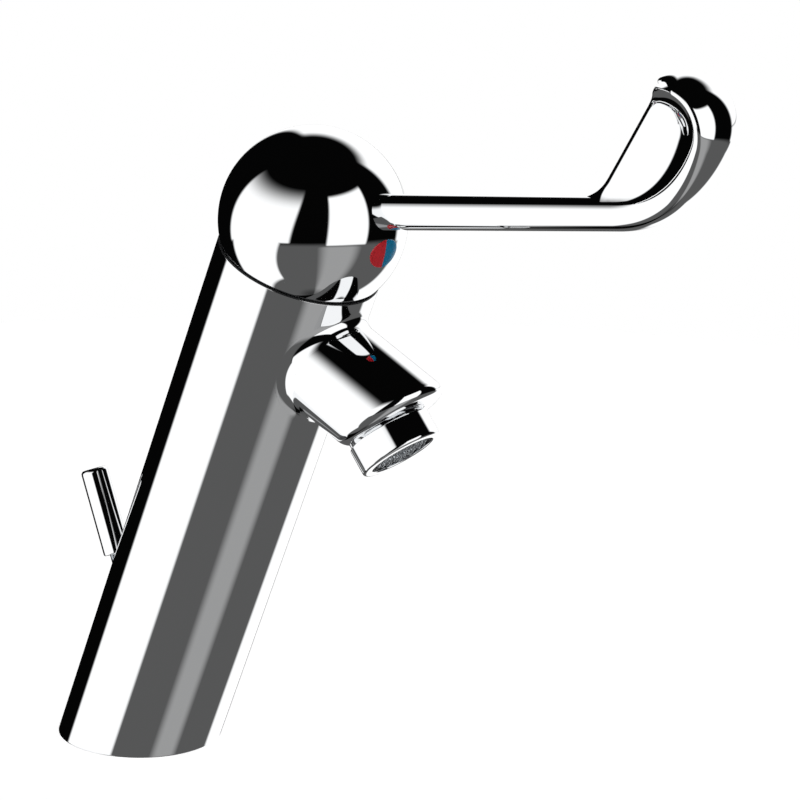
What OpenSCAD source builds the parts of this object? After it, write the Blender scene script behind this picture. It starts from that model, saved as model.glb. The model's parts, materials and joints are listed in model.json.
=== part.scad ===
// Elbow lever basin tap: a leaning chromed barrel with a short fixed spout, a ball-shaped cap that
// carries a long elbow lever, a mixing cartridge under the cap and a lift rod for the waste plug.
// Origin: centre of the base on the deck. +X points to the user, +Z up. Millimetres.

/* [Barrel] */
// Outside diameter of the barrel
body_d = 50; // [46:1:60]
// Lean of the barrel from upright, towards the user, in degrees
body_lean = 23; // [10:1:28]
// Length of the barrel along its axis, from the deck to the seam under the cap
body_length = 178; // [165:1:220]
// Wall of the barrel beside the cartridge
body_wall = 4; // [3.5:0.1:5]
// Extra wall of the barrel below the valve block, which makes the step that the block stands on
step_wall = 1; // [0.6:0.1:2]
// Width of the dark seam between barrel and cap
seam_gap = 0.9; // [0.5:0.1:1.5]

/* [Spout] */
// Outside diameter of the spout
spout_d = 32; // [30:0.5:36]
// Distance from the seam down to the spout's axis, along the barrel's axis
spout_drop = 22; // [20:0.5:30]
// Droop of the spout from square to the barrel, in degrees
spout_droop = 3.5; // [0:0.5:8]
// Distance along the spout from the barrel's axis to the corner where the outlet turns down
spout_reach = 39.7; // [36:0.1:60]
// Turn of the outlet from the spout's axis, in degrees
outlet_turn = 25.5; // [15:0.5:30]
// Distance from that corner to the spout's cut end
outlet_length = 10.6; // [10:0.1:16]
// Diameter of the waterway in the spout
spout_bore = 17; // [12:0.5:19]

/* [Aerator] */
// Diameter of the aerator's collar
aerator_d = 25.8; // [24:0.1:27]
// Length of the collar below the spout's end
aerator_collar = 9.2; // [7:0.1:14]
// Diameter of the aerator's thread
aerator_thread_d = 22; // [20:0.5:22]
// Length of the aerator's thread
aerator_thread = 6; // [4:0.5:7]
// Thickness of the rubber washer above the thread
aerator_washer = 1.5; // [1:0.1:2]
// Wall of the collar round the insert
aerator_wall = 1.4; // [1:0.1:1.6]
// Thickness of the grille at the mouth
grille_thick = 1.6; // [1:0.1:2.5]
// Diameter of the holes in the grille
grille_hole_d = 2; // [1:0.1:2.2]

/* [Cap and lever] */
// How much larger the ball-shaped cap's radius is than the barrel's
ball_overhang = 3; // [2.5:0.1:6]
// How far inside the barrel's outside the ball's surface crosses the seam
seam_inset = 0.47; // [0.3:0.01:0.8]
// Wall of the cap
cap_wall = 2.5; // [2:0.1:3]
// Angle of the lever above square to the barrel, in degrees
lever_angle = 29.5; // [27:0.5:40]
// Offset of the lever's axis above the ball's centre
lever_offset = 2.6; // [0:0.1:4]
// Diameter of the lever at the cap
lever_root_d = 10.8; // [9:0.1:13]
// Diameter of the lever where its end begins to bend
lever_neck_d = 9.6; // [8:0.1:12]
// Diameter of the spigot that is brazed into the cap
spigot_d = 7; // [5:0.1:8]
// Distance from the ball's centre to the start of the bend
bend_start = 110.5; // [80:0.5:160]
// Radius of the bend
bend_r = 39.3; // [30:0.1:60]
// Turn of the bend, in degrees
bend_turn = 56.5; // [45:0.5:65]
// Radius of the curl that follows the bend
curl_r = 12.6; // [10:0.1:16]
// Turn of the curl, in degrees
curl_turn = 123; // [100:1:130]
// Distance after the start of the bend where the bar begins to widen into the blade
widen_lead = 5; // [0:0.5:10]
// Share of the curl at which the blade is widest
widest_share = 0.67; // [0.3:0.01:0.8]
// Half width of the blade at its widest
blade_half_w = 10.5; // [8:0.5:16]
// Half thickness of the blade, and radius of its rim
blade_half_t = 1.5; // [1.2:0.1:2.5]
// Depth of the blade's bow across its width
blade_bow = 1.8; // [1:0.1:3]
// Half width of the blade at its tip
tip_half_w = 6; // [4:0.1:8]
// Thickness of the web inside the bend
web_t = 4; // [3:0.1:6]
// Distance before the bend where the web's back edge leaves the bar
web_lead = 7; // [4:0.5:12]
// Angle of the web's back edge from the lever, in degrees
web_angle = 55; // [50:0.5:60]

/* [Cartridge] */
// Outside diameter of the cartridge
cartridge_d = 35; // [33:0.5:36]
// Wall of the cartridge housing
cartridge_wall = 2; // [1.6:0.1:2.4]
// Height of the cartridge housing
cartridge_h = 28; // [27:0.5:32]
// Distance from the housing's top to the ball's centre
cartridge_drop = 25.5; // [24.5:0.5:28]
// Thickness of the cartridge's base plate
base_plate_t = 4; // [3.6:0.1:5]
// Thickness of each ceramic disc
disc_t = 4; // [3:0.1:4.5]
// Diameter of the moving ceramic disc
moving_disc_d = 24; // [22:0.1:24]
// Diameter of the water ports
port_d = 4; // [3:0.1:4.2]
// Distance of the hot and cold ports from the plane of symmetry
port_offset = 8; // [7.8:0.1:8.5]
// Distance of the hot and cold ports in front of the axis
port_forward = 2; // [1:0.1:3]
// Thickness of the carrier's plate
carrier_t = 5; // [4:0.1:5]
// Diameter of the carrier's post
post_d = 10; // [9:0.1:10.5]
// Diameter of the turret's neck
neck_d = 26; // [25:0.1:26.4]
// Diameter of the spindle's lower ball
drive_ball_d = 7; // [5:0.1:7]
// Distance from the pivot pin to the lower ball
drive_arm = 19.5; // [18:0.1:21]
// Lift of the lever from shut to fully open, in degrees
lift_angle = 20; // [12:1:20]
// Diameter of the pivot pin
pin_d = 4; // [3:0.1:5]
// Diameter of the spindle's top end
stem_d = 8; // [7:0.1:9]
// Distance from the pivot pin up to the clamping screw
screw_height = 9.2; // [9:0.1:11]
// Diameter of the clamping screw
screw_d = 5; // [4:0.5:6]
// Length of the clamping screw
screw_length = 8; // [6:0.5:10]
// Width of the hot and cold marker
marker_w = 12; // [10:0.1:12.4]
// Height of the marker between its two flats
marker_h = 8; // [7:0.1:9]
// Thickness of the ring nut over the cartridge
nut_t = 3.5; // [3:0.1:4]

/* [Valve block] */
// Height of the valve block and the port plate on it
block_h = 18; // [16:0.5:22]
// Diameter of the supply threads in the valve block
inlet_thread_d = 10; // [8:0.5:10.5]
// Depth of the supply threads
inlet_thread_depth = 11; // [8:0.5:12]
// Diameter of the sealing rings' section
seal_d = 2.6; // [2:0.1:3]

/* [Base] */
// Distance that the bridge reaches from the barrel's rear wall past the centre of the base
bridge_reach = 5; // [3:0.5:6]
// Width of the bridge across the base
bridge_w = 14; // [12:0.5:16]
// Thickness of the bridge in the base
bridge_t = 8; // [5:0.5:12]
// Diameter of the fixing thread in the bridge
fixing_thread_d = 8; // [6:1:10]
// Distance of the fixing thread behind the centre of the base
fixing_offset = 11; // [10:0.5:13]
// Depth of the groove for the base seal
base_seal_depth = 2; // [1.5:0.1:3]

/* [Lift rod] */
// Lean of the lift rod, away from the user, in degrees
rod_lean = 20; // [14:1:22]
// Distance from the centre of the base to the rod's axis on the deck
rod_offset = 13; // [12.5:0.1:14]
// Diameter of the lift rod
rod_d = 5; // [4:0.1:6]
// Height of the rod's lower end along its axis
rod_start = 6; // [5:0.5:12]
// Diameter of the rod's knob
knob_d = 8.8; // [7:0.1:11]
// Length of the knob
knob_length = 28; // [20:0.5:40]
// Gap along the rod between the barrel and the knob
knob_gap = 7.6; // [7:0.1:12]
// Diameter of the rod's guide bush
bush_d = 9; // [8:0.1:11]

/* [Fits] */
// Clearance of a turning or sliding fit, on the radius
running = 0.1; // [0.05:0.05:0.1]
// Clearance of a piece that is seated and fixed, on the radius
seated = 0.05; // [0.02:0.01:0.1]
// Clearance between the ball cap and its seat
ball_clearance = 0.3; // [0.2:0.05:0.5]

/* [Hidden] */
$fn = 72;
far = 400;

body_r = body_d / 2;
upper_bore_r = body_r - body_wall;
lower_bore_r = upper_bore_r - step_wall;
ball_r = body_r + ball_overhang;
ball_rise = sqrt(pow(ball_r, 2) - pow(body_r - seam_inset, 2));
cap_inner_r = ball_r - cap_wall;
ball_z = body_length + ball_rise;
spout_z = body_length - spout_drop;
rim_z = body_length - seam_gap / 2;
cap_edge_z = body_length + seam_gap / 2;

// Heights along the barrel's axis, worked down from the ball's centre
housing_top_z = ball_z - cartridge_drop;
housing_z = housing_top_z - cartridge_h;
plate_z = housing_z - base_plate_t;
block_z = plate_z - block_h;
port_plate_z = block_z + inlet_thread_depth;
groove_z = block_z + inlet_thread_depth / 2;
nut_top_z = housing_top_z + nut_t;
fixed_disc_z = housing_z;
moving_disc_z = fixed_disc_z + disc_t + seated;
carrier_z = moving_disc_z + disc_t;
turret_z = carrier_z + carrier_t + running;
lip_t = 2;
lip_z = housing_top_z - lip_t;

housing_r = cartridge_d / 2;
housing_inner_r = housing_r - cartridge_wall;
neck_r = neck_d / 2;
neck_wall = 3.4;
neck_inner_r = neck_r - neck_wall;
ear_gap = 2 * neck_inner_r - 2;
ear_top = 4.5;
hub_d = pin_d + 7;
marker_seat = cap_inner_r - 3;
spindle_tilt = lift_angle / 2;
drive_throw = drive_arm * sin(spindle_tilt);
drive_z = ball_z - drive_arm * cos(spindle_tilt);
post_top_z = drive_z + drive_ball_d / 2 - 1;
port_seal_r = port_d / 2 + 2.5;
outlet_port_d = 7;

// The seat ring stands in a counterbore under the ball
seat_wall = 1;
seat_outer_r = body_r - seat_wall;
seat_inner_r = seat_outer_r - 4;
seat_z = nut_top_z + 0.5;

collar_r = aerator_d / 2;
insert_r = collar_r - aerator_wall - 1.6;
thread_r = aerator_thread_d / 2;
washer_z = outlet_length - aerator_thread - aerator_washer;
mouth_z = outlet_length + aerator_collar;

knob_start = rod_at_wall(body_r) + knob_gap;

// Distance along the rod from the deck to where its axis leaves the barrel's cylinder of radius r
function rod_at_wall(r) = (r + rod_offset * cos(body_lean)) / sin(body_lean + rod_lean);

// The lever's centre line in its own plane: [along, up, direction], at distance s from the bend
bend_length = bend_r * bend_turn * PI / 180;
curl_length = curl_r * curl_turn * PI / 180;
blade_length = bend_length + curl_length;
widest = bend_length + widest_share * curl_length;
function arc_step(p, r, a) =
    [p[0] + r * (sin(p[2] + a) - sin(p[2])), p[1] - r * (cos(p[2] + a) - cos(p[2])), p[2] + a];
function run_step(p, s) = [p[0] + s * cos(p[2]), p[1] + s * sin(p[2]), p[2]];
bend_from = [bend_start, lever_offset, 0];
curl_from = arc_step(bend_from, bend_r, bend_turn);
blade_tip = arc_step(curl_from, curl_r, curl_turn);
function lever_line(s) =
    s <= 0 ? run_step(bend_from, s)
    : s <= bend_length ? arc_step(bend_from, bend_r, bend_turn * s / bend_length)
    : arc_step(curl_from, curl_r, curl_turn * (s - bend_length) / curl_length);

// Share of the way from round bar to full blade, and from full blade to its tip
function ease(t) = t <= 0 ? 0 : t >= 1 ? 1 : t * t * (3 - 2 * t);
function widen(s) = ease((s - widen_lead) / (widest - widen_lead));
function narrow(s) = ease((s - widest) / (blade_length - widest));
function mix(a, b, t) = a + (b - a) * t;
function half_w(s) = mix(mix(lever_neck_d / 2, blade_half_w, widen(s)), tip_half_w, narrow(s));
function half_t(s) = mix(lever_neck_d / 2, blade_half_t, widen(s));
function bow(s) = blade_bow * widen(s) * (1 - narrow(s));

// One ring of the blade's skin: a plate with round rims across the path, bowed inwards towards them
ring_sides = 24;
blade_rings = 30;
function blade_ring(s) =
    let (p = lever_line(s))
    [for (i = [0 : ring_sides - 1])
        let (
            a = 360 * i / ring_sides,
            flat = sin(a) * (3 - pow(sin(a), 2)) / 2,
            across = (half_w(s) - half_t(s)) * flat + half_t(s) * sin(a),
            out = half_t(s) * cos(a) - bow(s) * pow(flat, 2)
        )
        [p[0] + out * sin(p[2]), across, p[1] - out * cos(p[2])]];

// Frames: the barrel's axis, the ball's centre, the spindle, the lever, the spout, the outlet and the rod
module leaning() rotate([0, body_lean, 0]) children();
module at_ball() leaning() translate([0, 0, ball_z]) children();
module at_spindle() at_ball() rotate([0, spindle_tilt, 0]) children();
module at_lever() at_ball() rotate([0, -lever_angle, 0]) children();
module at_spout() leaning() translate([0, 0, spout_z]) rotate([0, 90 + spout_droop, 0]) children();
module at_outlet() at_spout() translate([0, 0, spout_reach]) rotate([0, outlet_turn, 0]) children();
module at_rod() translate([rod_offset, 0, 0]) rotate([0, -rod_lean, 0]) children();

// A tube from z to z + h, and a ring of round section
module tube(outer, inner, z, h, cut = 1) {
    translate([0, 0, z])
        difference() {
            cylinder(r = outer, h = h);
            translate([0, 0, -cut])
                cylinder(r = inner, h = h + 2 * cut);
        }
}
module o_ring(mid_r, z, d) {
    translate([0, 0, z])
        rotate_extrude()
            translate([mid_r, 0])
                circle(d = d, $fn = 32);
}
module above_deck(from = 0) translate([-far / 2, -far / 2, from]) cube(far);
module two_ports() for (side = [-1, 1]) translate([port_forward, side * port_offset, 0]) children();
module half_space(side) translate([-far / 2, side > 0 ? 0 : -far, -far / 2]) cube(far);

// The part of the leaning cylinder of radius r between two level planes
module leaning_slice(r, low, high) {
    intersection() {
        leaning()
            translate([0, 0, -2 * body_d])
                cylinder(r = r, h = 4 * body_d);
        translate([-far / 2, -far / 2, low])
            cube([far, far, high - low]);
    }
}
module base_groove(gap, low) {
    mid_r = body_r - (body_wall + step_wall) / 2;
    difference() {
        leaning_slice(mid_r + 1 - gap, low, base_seal_depth - gap);
        leaning_slice(mid_r - 1 + gap, low - 1, base_seal_depth + 1);
    }
}

module body() {
    color("#d8dcdf")
        difference() {
            intersection() {
                leaning()
                    translate([0, 0, -body_d])
                        cylinder(r = body_r, h = rim_z + body_d);
                above_deck();
            }
            leaning()
                translate([0, 0, -body_d])
                    cylinder(r = lower_bore_r, h = block_z + body_d + 1);
            leaning()
                translate([0, 0, block_z])
                    cylinder(r = upper_bore_r, h = body_length);
            leaning()
                translate([0, 0, seat_z])
                    cylinder(r = seat_outer_r, h = body_length);
            at_ball()
                sphere(r = ball_r + ball_clearance);
            at_spout()
                translate([0, 0, housing_r])
                    cylinder(d = spout_bore, h = body_d);
            at_rod()
                translate([0, 0, rod_at_wall(lower_bore_r) - bush_d])
                    cylinder(d = bush_d, h = 3 * bush_d + body_wall);
            base_groove(0, -1);
        }
}

module spout() {
    color("#d8dcdf")
        difference() {
            at_spout()
                cylinder(d = spout_d, h = spout_reach + spout_d);
            at_outlet()
                translate([-far / 2, -far / 2, outlet_length])
                    cube(far);
            leaning()
                cylinder(r = body_r + seated, h = body_length + body_d);
            at_spout()
                cylinder(d = spout_bore, h = spout_reach);
            at_outlet()
                translate([0, 0, washer_z])
                    cylinder(r = thread_r, h = far);
            at_outlet()
                sphere(d = spout_bore + 2);
        }
}

module base_bridge() {
    color("#b5a46a")
        difference() {
            intersection() {
                leaning_slice(lower_bore_r - seated, 0, bridge_t);
                translate([bridge_reach - far, -bridge_w / 2, -far / 2])
                    cube([far, bridge_w, far]);
            }
            translate([-fixing_offset, 0, 0])
                cylinder(d = fixing_thread_d, h = far, center = true);
            leaning()
                two_ports()
                    cylinder(r = inlet_thread_d / 2 + ball_clearance, h = far, center = true);
        }
}

module base_seal() {
    color("#26282a")
        base_groove(seated, 0);
}

module valve_block() {
    color("#b5a46a")
        leaning()
            difference() {
                translate([0, 0, block_z])
                    cylinder(r = upper_bore_r - seated, h = inlet_thread_depth);
                tube(body_r, upper_bore_r - seal_d, groove_z - seal_d / 2 - seated, seal_d + 2 * seated);
                translate([0, 0, block_z - 1])
                    two_ports()
                        cylinder(d = inlet_thread_d, h = inlet_thread_depth + 2);
            }
}

module block_seal() {
    color("#1d1e20")
        leaning()
            o_ring(upper_bore_r - seal_d / 2, groove_z, seal_d - 3 * seated);
}

module port_plate() {
    color("#b5a46a")
        leaning()
            difference() {
                translate([0, 0, port_plate_z])
                    cylinder(r = upper_bore_r - seated, h = plate_z - port_plate_z);
                translate([0, 0, port_plate_z - 1])
                    two_ports()
                        cylinder(d = port_d, h = far);
            }
}

module cartridge_base() {
    color("#e6e6e2")
        leaning()
            difference() {
                translate([0, 0, plate_z])
                    cylinder(r = housing_r, h = base_plate_t);
                two_ports()
                    translate([0, 0, plate_z - 1])
                        cylinder(d = port_d, h = far);
                two_ports()
                    translate([0, 0, plate_z - 1])
                        cylinder(r = port_seal_r, h = base_plate_t / 2 + 1);
                translate([-port_offset - housing_r, -outlet_port_d / 2, plate_z + base_plate_t / 2])
                    cube([housing_r + outlet_port_d / 2, outlet_port_d, base_plate_t]);
            }
}

module cartridge_seals() {
    color("#1d1e20")
        leaning()
            two_ports()
                tube(port_seal_r - seated, port_d / 2, plate_z, base_plate_t / 2 - seated);
}

module cartridge_housing() {
    window_h = 7;
    color("#efefec")
        leaning()
            difference() {
                translate([0, 0, housing_z])
                    cylinder(r = housing_r, h = cartridge_h);
                translate([0, 0, housing_z - 1])
                    cylinder(r = housing_inner_r, h = lip_z - housing_z + 1);
                translate([0, 0, housing_z])
                    cylinder(r = neck_r + running, h = far);
                for (turn = [0 : 120 : 240])
                    rotate([0, 0, turn])
                        translate([0, -window_h / 2, turret_z])
                            cube([housing_r + 1, window_h, window_h]);
            }
}

module fixed_disc() {
    color("#f4f4f2")
        leaning()
            difference() {
                translate([0, 0, fixed_disc_z])
                    cylinder(r = housing_inner_r - seated, h = disc_t);
                two_ports()
                    translate([0, 0, fixed_disc_z - 1])
                        cylinder(d = port_d, h = far);
                translate([-port_offset, 0, fixed_disc_z - 1])
                    cylinder(d = outlet_port_d, h = far);
            }
}

module moving_disc() {
    cavity_d = moving_disc_d - 9;
    color("#ffffff")
        leaning()
            translate([-drive_throw, 0, moving_disc_z])
                difference() {
                    cylinder(d = moving_disc_d, h = disc_t);
                    translate([0, 0, -1])
                        cylinder(d = cavity_d, h = disc_t / 2 + 1);
                }
}

module disc_carrier() {
    color("#3c6ea8")
        leaning()
            translate([-drive_throw, 0, 0])
                difference() {
                    union() {
                        translate([0, 0, carrier_z])
                            cylinder(d = moving_disc_d, h = carrier_t);
                        translate([0, 0, carrier_z])
                            cylinder(d = post_d, h = post_top_z - carrier_z);
                    }
                    translate([0, 0, drive_z - drive_ball_d])
                        cylinder(d = drive_ball_d + 2 * running, h = far);
                }
}

module turret() {
    slot_l = post_d + 2 * drive_throw + 4 * running;
    color("#4a4d52")
        leaning()
            difference() {
                union() {
                    translate([0, 0, turret_z])
                        cylinder(r = housing_inner_r - running, h = lip_z - running - turret_z);
                    translate([0, 0, turret_z])
                        cylinder(r = neck_r, h = ball_z + ear_top - turret_z);
                }
                translate([-slot_l / 2, -post_d / 2 - running, turret_z - 1])
                    cube([slot_l, post_d + 2 * running, far]);
                translate([0, 0, lip_z])
                    cylinder(r = neck_inner_r, h = far);
                translate([-far / 2, -ear_gap / 2, drive_z + drive_ball_d])
                    cube([far, ear_gap, far]);
                translate([0, 0, ball_z])
                    rotate([90, 0, 0])
                        cylinder(d = pin_d + 2 * seated, h = far, center = true);
            }
}

module pivot_pin() {
    color("#9aa0a6")
        at_ball()
            rotate([90, 0, 0])
                cylinder(d = pin_d, h = neck_d - 2, center = true);
}

module cartridge_nut() {
    notch_w = 4;
    color("#b5a46a")
        leaning()
            difference() {
                tube(upper_bore_r - seated, neck_r + 4 * running, housing_top_z, nut_t);
                for (turn = [0 : 90 : 270])
                    rotate([0, 0, turn])
                        translate([housing_r, -notch_w / 2, nut_top_z - nut_t / 2])
                            cube([body_r, notch_w, nut_t]);
            }
}

module seat_ring() {
    color("#121314")
        difference() {
            leaning()
                tube(seat_outer_r - seated, seat_inner_r, seat_z, ball_rise);
            at_ball()
                sphere(r = ball_r + ball_clearance);
        }
}

module spindle() {
    shank_d = drive_ball_d - 1.5;
    color("#b8bcc0")
        at_spindle()
            difference() {
                union() {
                    translate([0, 0, -drive_arm])
                        sphere(d = drive_ball_d);
                    translate([0, 0, -drive_arm])
                        cylinder(d = shank_d, h = drive_arm);
                    rotate([90, 0, 0])
                        cylinder(d = hub_d, h = ear_gap - 2 * running, center = true);
                    cylinder(d = stem_d, h = screw_height + stem_d);
                }
                rotate([90, 0, 0])
                    cylinder(d = pin_d + 2 * seated, h = far, center = true);
            }
}

// Bar with the marker's outline, grown by a margin, from a distance in front of the spindle outwards:
// a round bar with a flat above and below
module marker_bar(start, margin) {
    wide = marker_w + 2 * margin;
    high = marker_h + 2 * margin;
    translate([start, 0, screw_height])
        intersection() {
            rotate([0, 90, 0])
                cylinder(d = wide, h = ball_r);
            translate([-1, -wide, -high / 2])
                cube([ball_r + 2, 2 * wide, high]);
        }
}

module handle_cap() {
    boss_r = stem_d / 2 + 3.2;
    boss_z = hub_d / 2 + running;
    marker_wall = 1;
    color("#dfe3e6")
        difference() {
            union() {
                at_ball()
                    difference() {
                        sphere(r = ball_r);
                        sphere(r = cap_inner_r);
                    }
                intersection() {
                    at_spindle()
                        union() {
                            translate([0, 0, boss_z])
                                cylinder(r = boss_r, h = ball_r);
                            marker_bar(hub_d / 2 + seated, marker_wall);
                        }
                    at_ball()
                        sphere(r = cap_inner_r + cap_wall / 2);
                }
            }
            leaning()
                translate([-far / 2, -far / 2, cap_edge_z - far])
                    cube(far);
            at_spindle()
                translate([0, 0, -ball_r])
                    cylinder(d = stem_d + 2 * seated, h = ball_r + screw_height + stem_d + seated);
            at_spindle()
                translate([0, 0, screw_height])
                    rotate([0, 90, 0])
                        cylinder(d = screw_d, h = far);
            at_spindle()
                marker_bar(marker_seat, 0);
            at_lever()
                translate([cap_inner_r / 2, 0, lever_offset])
                    rotate([0, 90, 0])
                        cylinder(d = spigot_d + 2 * seated, h = far);
        }
}

module lever_arm() {
    web_foot = [bend_start - web_lead, lever_offset + lever_neck_d / 2];
    corner_up = blade_tip[1] - blade_half_t;
    web_corner = [web_foot[0] + (corner_up - web_foot[1]) / tan(web_angle), corner_up];
    web_steps = 24;
    web_edge = [for (i = [0 : web_steps]) let (p = lever_line(blade_length * i / web_steps)) [p[0], p[1]]];
    web_outline = concat([[web_foot[0], lever_offset]], web_edge, [web_corner, web_foot]);
    rings = [for (i = [0 : blade_rings]) blade_ring(mix(-web_lead, blade_length, i / blade_rings))];
    skin = [for (ring = rings) each ring];
    last = blade_rings * ring_sides;
    sides = [for (i = [0 : blade_rings - 1], j = [0 : ring_sides - 1])
        let (a = i * ring_sides + j, b = i * ring_sides + (j + 1) % ring_sides)
        each [[b, a, b + ring_sides], [b + ring_sides, a, a + ring_sides]]];
    ends = [[for (j = [0 : ring_sides - 1]) j], [for (j = [ring_sides - 1 : -1 : 0]) last + j]];
    color("#dfe3e6")
        union() {
            difference() {
                at_lever()
                    translate([0, 0, lever_offset])
                        rotate([0, 90, 0])
                            cylinder(r1 = lever_root_d / 2, r2 = lever_neck_d / 2, h = bend_start);
                at_ball()
                    sphere(r = ball_r + seated);
            }
            at_lever()
                translate([cap_inner_r, 0, lever_offset])
                    rotate([0, 90, 0])
                        cylinder(d = spigot_d, h = ball_r);
            at_lever()
                polyhedron(points = skin, faces = concat(sides, ends), convexity = 6);
            at_lever()
                rotate([90, 0, 0])
                    linear_extrude(web_t, center = true, convexity = 4)
                        polygon(web_outline);
        }
}

module clamp_screw() {
    socket_d = screw_d / 2;
    color("#8b9096")
        at_spindle()
            translate([stem_d / 2 + seated, 0, screw_height])
                rotate([0, 90, 0])
                    difference() {
                        cylinder(d = screw_d - 2 * seated, h = screw_length);
                        translate([0, 0, screw_length / 2])
                            cylinder(d = socket_d, h = screw_length, $fn = 6);
                    }
}

// Half of the round marker, flush with the ball
module marker_half(side) {
    intersection() {
        at_spindle()
            marker_bar(marker_seat, -seated);
        at_ball()
            sphere(r = ball_r, $fn = 200);
        half_space(side);
    }
}
module marker_hot() {
    color("#c2202b")
        marker_half(-1);
}
module marker_cold() {
    color("#0f668c")
        marker_half(1);
}

module aerator_housing() {
    edge = 1;
    inner_r = insert_r + seated;
    color("#d8dcdf")
        at_outlet()
            rotate_extrude()
                polygon([
                    [inner_r, outlet_length - aerator_thread],
                    [thread_r - seated, outlet_length - aerator_thread],
                    [thread_r - seated, outlet_length],
                    [collar_r, outlet_length],
                    [collar_r, mouth_z - edge],
                    [collar_r - edge, mouth_z],
                    [inner_r, mouth_z]
                ]);
}

module aerator_insert() {
    jet_d = 1.6;
    jet_rows = [[3, 6], [5.6, 12]];
    insert_z = outlet_length - aerator_thread;
    insert_h = mouth_z - grille_thick - 1 - insert_z;
    color("#3a3d40")
        at_outlet()
            difference() {
                translate([0, 0, insert_z])
                    cylinder(r = insert_r, h = insert_h);
                for (row = jet_rows, i = [0 : row[1] - 1])
                    rotate([0, 0, 360 * i / row[1]])
                        translate([row[0], 0, insert_z - 1])
                            cylinder(d = jet_d, h = far, $fn = 16);
            }
}

module aerator_grille() {
    hole_rows = 3;
    row_pitch = insert_r / (hole_rows + 0.5);
    grille_z = mouth_z - grille_thick - 1;
    color("#c9cdd0")
        at_outlet()
            difference() {
                translate([0, 0, grille_z])
                    cylinder(r = insert_r, h = grille_thick);
                for (row = [1 : hole_rows], i = [0 : 6 * row - 1])
                    rotate([0, 0, 60 * i / row])
                        translate([row * row_pitch, 0, grille_z - 1])
                            cylinder(d = grille_hole_d, h = grille_thick + 2, $fn = 16);
            }
}

module aerator_washer_ring() {
    color("#1d1e20")
        at_outlet()
            tube(thread_r - seated, spout_bore / 2, washer_z, aerator_washer);
}

module rod_bush() {
    color("#2b2d30")
        intersection() {
            at_rod()
                tube(bush_d / 2 - seated, rod_d / 2 + running, rod_at_wall(lower_bore_r) - bush_d / 2,
                    4 * bush_d);
            leaning()
                cylinder(r = body_r, h = body_length);
        }
}

module lift_rod() {
    eye_d = 2;
    color("#b8bcc0")
        at_rod()
            difference() {
                translate([0, 0, rod_start])
                    cylinder(d = rod_d, h = knob_start + knob_length / 2 - rod_start);
                translate([0, 0, rod_start + rod_d])
                    rotate([90, 0, 0])
                        cylinder(d = eye_d, h = far, center = true);
            }
}

module lift_knob() {
    edge = 1;
    knob_r = knob_d / 2;
    bore_r = rod_d / 2 + seated;
    color("#d8dcdf")
        at_rod()
            translate([0, 0, knob_start])
                rotate_extrude()
                    polygon([
                        [bore_r, 0],
                        [knob_r, 0],
                        [knob_r, knob_length - edge],
                        [knob_r - edge, knob_length],
                        [0, knob_length],
                        [0, knob_length / 2 + seated],
                        [bore_r, knob_length / 2 + seated]
                    ]);
}

body();
spout();
base_bridge();
base_seal();
valve_block();
block_seal();
port_plate();
cartridge_base();
cartridge_seals();
cartridge_housing();
fixed_disc();
moving_disc();
disc_carrier();
turret();
pivot_pin();
cartridge_nut();
seat_ring();
spindle();
handle_cap();
lever_arm();
clamp_screw();
marker_hot();
marker_cold();
aerator_housing();
aerator_insert();
aerator_grille();
aerator_washer_ring();
rod_bush();
lift_rod();
lift_knob();
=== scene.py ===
"""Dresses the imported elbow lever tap: chromed surfaces, marker, aerator, lift rod and the studio."""

import json
import math

import bpy
import numpy as np
from mathutils import Matrix, Vector


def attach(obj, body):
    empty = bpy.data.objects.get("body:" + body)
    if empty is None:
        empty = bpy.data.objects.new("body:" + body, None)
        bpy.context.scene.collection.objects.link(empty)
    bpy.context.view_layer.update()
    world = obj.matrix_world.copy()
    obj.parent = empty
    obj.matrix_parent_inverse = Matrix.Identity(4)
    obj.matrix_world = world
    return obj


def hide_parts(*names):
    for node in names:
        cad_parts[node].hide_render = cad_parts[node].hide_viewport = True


bl_info = {
    "name": "Elbow lever tap",
    "version": (1, 0, 0),
    "blender": (4, 5, 0),
    "location": "3D View > Sidebar > Tap",
    "description": "Builds the visible surfaces of a chromed elbow lever tap on its packed frame",
    "category": "Add Mesh",
}

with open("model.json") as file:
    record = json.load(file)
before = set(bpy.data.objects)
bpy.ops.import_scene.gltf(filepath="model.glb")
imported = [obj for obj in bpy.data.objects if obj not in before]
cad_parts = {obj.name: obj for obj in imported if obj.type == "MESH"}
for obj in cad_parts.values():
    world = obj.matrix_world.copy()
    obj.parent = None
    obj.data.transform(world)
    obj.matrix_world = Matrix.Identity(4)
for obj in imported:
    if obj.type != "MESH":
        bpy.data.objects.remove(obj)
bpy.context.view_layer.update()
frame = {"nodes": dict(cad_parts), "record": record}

MM = 0.001
TURN = 2 * math.pi
QUARTER = math.pi / 2
Y_AXIS = np.array([0.0, 1.0, 0.0])


# Sizes and colours a user would change

def colour(text):
    """An sRGB hex colour as linear red, green, blue and alpha."""
    part = np.array([int(text[k:k + 2], 16) / 255 for k in (1, 3, 5)])
    linear = np.where(part <= 0.04045, part / 12.92, ((part + 0.055) / 1.055) ** 2.4)
    return (*linear.tolist(), 1.0)


def length(name, description, default_mm):
    """A length property given in millimetres and kept in metres."""
    return bpy.props.FloatProperty(
        name=name, description=description, default=default_mm * MM, unit="LENGTH", precision=5,
        min=0.0,
    )


def angle(name, description, default_deg):
    """An angle property given in degrees and kept in radians."""
    return bpy.props.FloatProperty(
        name=name, description=description, default=math.radians(default_deg), subtype="ANGLE",
    )


def share(name, description, default):
    """A share between 0 and 1."""
    return bpy.props.FloatProperty(
        name=name, description=description, default=default, min=0.0, max=1.0, subtype="FACTOR",
    )


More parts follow.
